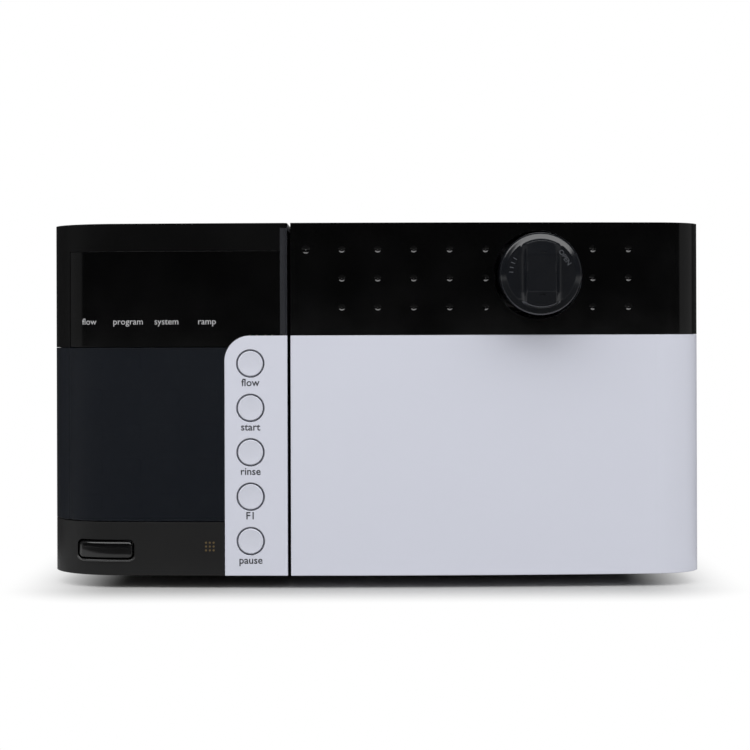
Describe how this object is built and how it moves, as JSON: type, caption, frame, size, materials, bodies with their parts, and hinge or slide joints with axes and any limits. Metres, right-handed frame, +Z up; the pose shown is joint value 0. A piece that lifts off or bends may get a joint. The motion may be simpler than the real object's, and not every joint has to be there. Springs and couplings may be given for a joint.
{
  "type": "hplc pump module",
  "caption": "Solvent delivery pump module of a liquid chromatograph: bowed front with display, keypad cover, round buttons and a swinging door round a drain knob.",
  "frame": {"origin": "centre of the footprint, on the surface that the feet stand on", "axes": "+X to the right seen from the front, +Y to the rear, +Z up; the front faces -Y"},
  "size_m": [0.26, 0.42, 0.144],
  "materials": {
    "sheet_steel": "plain zinc-coated sheet",
    "case_paint": "light grey, finely textured powder coat",
    "steel": "turned and ground stainless steel",
    "rubber": "matt black rubber",
    "charcoal": "charcoal moulding with a fine satin texture",
    "charcoal_gloss": "charcoal, smoother than the frame",
    "window_black": "polished black acrylic",
    "display_glass": "unlit display",
    "board": "green solder mask",
    "white": "cool white satin moulding",
    "white_button": "cool white satin",
    "dark_plastic": "black moulding",
    "key_rubber": "grey silicone keys",
    "smoke": "smoked moulding",
    "band_black": "polished black cap",
    "knob": "dark blue-grey polished knob",
    "aluminium": "machined",
    "cast_aluminium": "cast, bead blasted",
    "white_tube": "translucent plastic tube",
    "dark_metal": "black painted motor case",
    "sapphire": "polished sapphire rod"
  },
  "bodies": {
    "case": {"base_chassis": "sheet_steel", "button_strip": "white", "cam_housing": "cast_aluminium", "camshaft_bearings": "steel", "case_screws": "steel", "check_valves": "steel", "display_module": "display_glass", "display_window": "window_black", "door_hinge_pins": "steel", "door_magnet": "dark_plastic", "drain_valve_block": "steel", "fan_frame": "dark_plastic", "front_bulkhead": "sheet_steel", "front_circuit_board": "board", "front_frame": "charcoal", "head_holders": "aluminium", "head_thumb_nuts": "dark_plastic", "inlet_tubing": "white_tube", "keypad_membrane": "key_rubber", "leak_sensor": "dark_plastic", "leak_tray": "dark_plastic", "line_filter": "steel", "main_board": "board", "outlet_tubing": "steel", "power_inlet": "dark_plastic", "power_supply": "sheet_steel", "power_switch_body": "dark_plastic", "pressure_sensor": "aluminium", "pump_heads": "steel", "rear_connectors": "dark_plastic", "rear_panel": "case_paint", "return_spring_left": "steel", "return_spring_right": "steel", "rubber_feet": "rubber", "stepper_motor": "dark_metal", "timing_belt": "rubber", "top_cover": "case_paint"},
    "door": {"door_panel": "white", "door_band": "band_black", "door_strike_plate": "steel"},
    "keypad_cover": {"keypad_cover": "smoke"},
    "power_button": {"power_button": "charcoal_gloss"},
    "drain_knob": {"drain_knob": "knob", "drain_valve_stem": "steel"},
    "camshaft": {"camshaft": "steel", "driven_pulley": "aluminium"},
    "motor_rotor": {"motor_shaft": "steel", "drive_pulley": "aluminium"},
    "fan_rotor": {"fan_rotor": "dark_plastic"},
    "button_flow": {"button_flow": "white_button"},
    "button_start": {"button_start": "white_button"},
    "button_rinse": {"button_rinse": "white_button"},
    "button_f1": {"button_f1": "white_button"},
    "button_pause": {"button_pause": "white_button"},
    "crosshead_left": {"crosshead_left": "steel", "plunger_left": "sapphire"},
    "roller_left": {"roller_left": "steel"},
    "crosshead_right": {"crosshead_right": "steel", "plunger_right": "sapphire"},
    "roller_right": {"roller_right": "steel"}
  },
  "joints": [
    {"name": "door_hinge", "type": "hinge", "parent": "case", "child": "door", "pos_m": [-0.0193, -0.1885, 0.075], "axis": [0, 0, -1], "range_deg": [0, 110]},
    {"name": "keypad_cover_hinge", "type": "hinge", "parent": "case", "child": "keypad_cover", "pos_m": [-0.1262, -0.1555, 0.06], "axis": [0, 0, -1], "range_deg": [0, 100]},
    {"name": "button_flow_press", "type": "slide", "parent": "case", "child": "button_flow", "axis": [0, 1, 0], "range_m": [0, 0.0008], "stiffness_N_per_m": 600},
    {"name": "button_start_press", "type": "slide", "parent": "case", "child": "button_start", "axis": [0, 1, 0], "range_m": [0, 0.0008], "stiffness_N_per_m": 600},
    {"name": "button_rinse_press", "type": "slide", "parent": "case", "child": "button_rinse", "axis": [0, 1, 0], "range_m": [0, 0.0008], "stiffness_N_per_m": 600},
    {"name": "button_f1_press", "type": "slide", "parent": "case", "child": "button_f1", "axis": [0, 1, 0], "range_m": [0, 0.0008], "stiffness_N_per_m": 600},
    {"name": "button_pause_press", "type": "slide", "parent": "case", "child": "button_pause", "axis": [0, 1, 0], "range_m": [0, 0.0008], "stiffness_N_per_m": 600},
    {"name": "power_button_press", "type": "slide", "parent": "case", "child": "power_button", "axis": [0, 1, 0], "range_m": [0, 0.002], "stiffness_N_per_m": 500},
    {"name": "drain_knob_turn", "type": "hinge", "parent": "case", "child": "drain_knob", "pos_m": [0.0645, -0.19, 0.1234], "axis": [0, -1, 0], "range_deg": [0, 180]},
    {"name": "camshaft_turn", "type": "hinge", "parent": "case", "child": "camshaft", "pos_m": [0.02, -0.045, 0.062], "axis": [1, 0, 0], "range_deg": [0, 180]},
    {"name": "motor_turn", "type": "hinge", "parent": "case", "child": "motor_rotor", "pos_m": [0.06, 0.0282, 0.062], "axis": [1, 0, 0], "range_deg": [0, 450]},
    {"name": "crosshead_left_slide", "type": "slide", "parent": "case", "child": "crosshead_left", "axis": [0, -1, 0], "range_m": [0, 0.006], "deforming": ["return_spring_left"]},
    {"name": "roller_left_spin", "type": "hinge", "parent": "crosshead_left", "child": "roller_left", "pos_m": [0.004, -0.065, 0.062], "axis": [1, 0, 0], "continuous": true},
    {"name": "crosshead_right_slide", "type": "slide", "parent": "case", "child": "crosshead_right", "axis": [0, -1, 0], "range_m": [-0.006, 0], "deforming": ["return_spring_right"]},
    {"name": "roller_right_spin", "type": "hinge", "parent": "crosshead_right", "child": "roller_right", "pos_m": [0.038, -0.071, 0.062], "axis": [1, 0, 0], "continuous": true},
    {"name": "fan_spin", "type": "hinge", "parent": "case", "child": "fan_rotor", "pos_m": [0.062, 0.19, 0.084], "axis": [0, 1, 0], "continuous": true}
  ],
  "couplings": [
    {"joint": "crosshead_left_slide", "follows": "camshaft_turn", "m_per_rad": 0.0019099},
    {"joint": "crosshead_right_slide", "follows": "camshaft_turn", "m_per_rad": -0.0019099},
    {"joint": "motor_turn", "follows": "camshaft_turn", "ratio": 2.5}
  ]
}
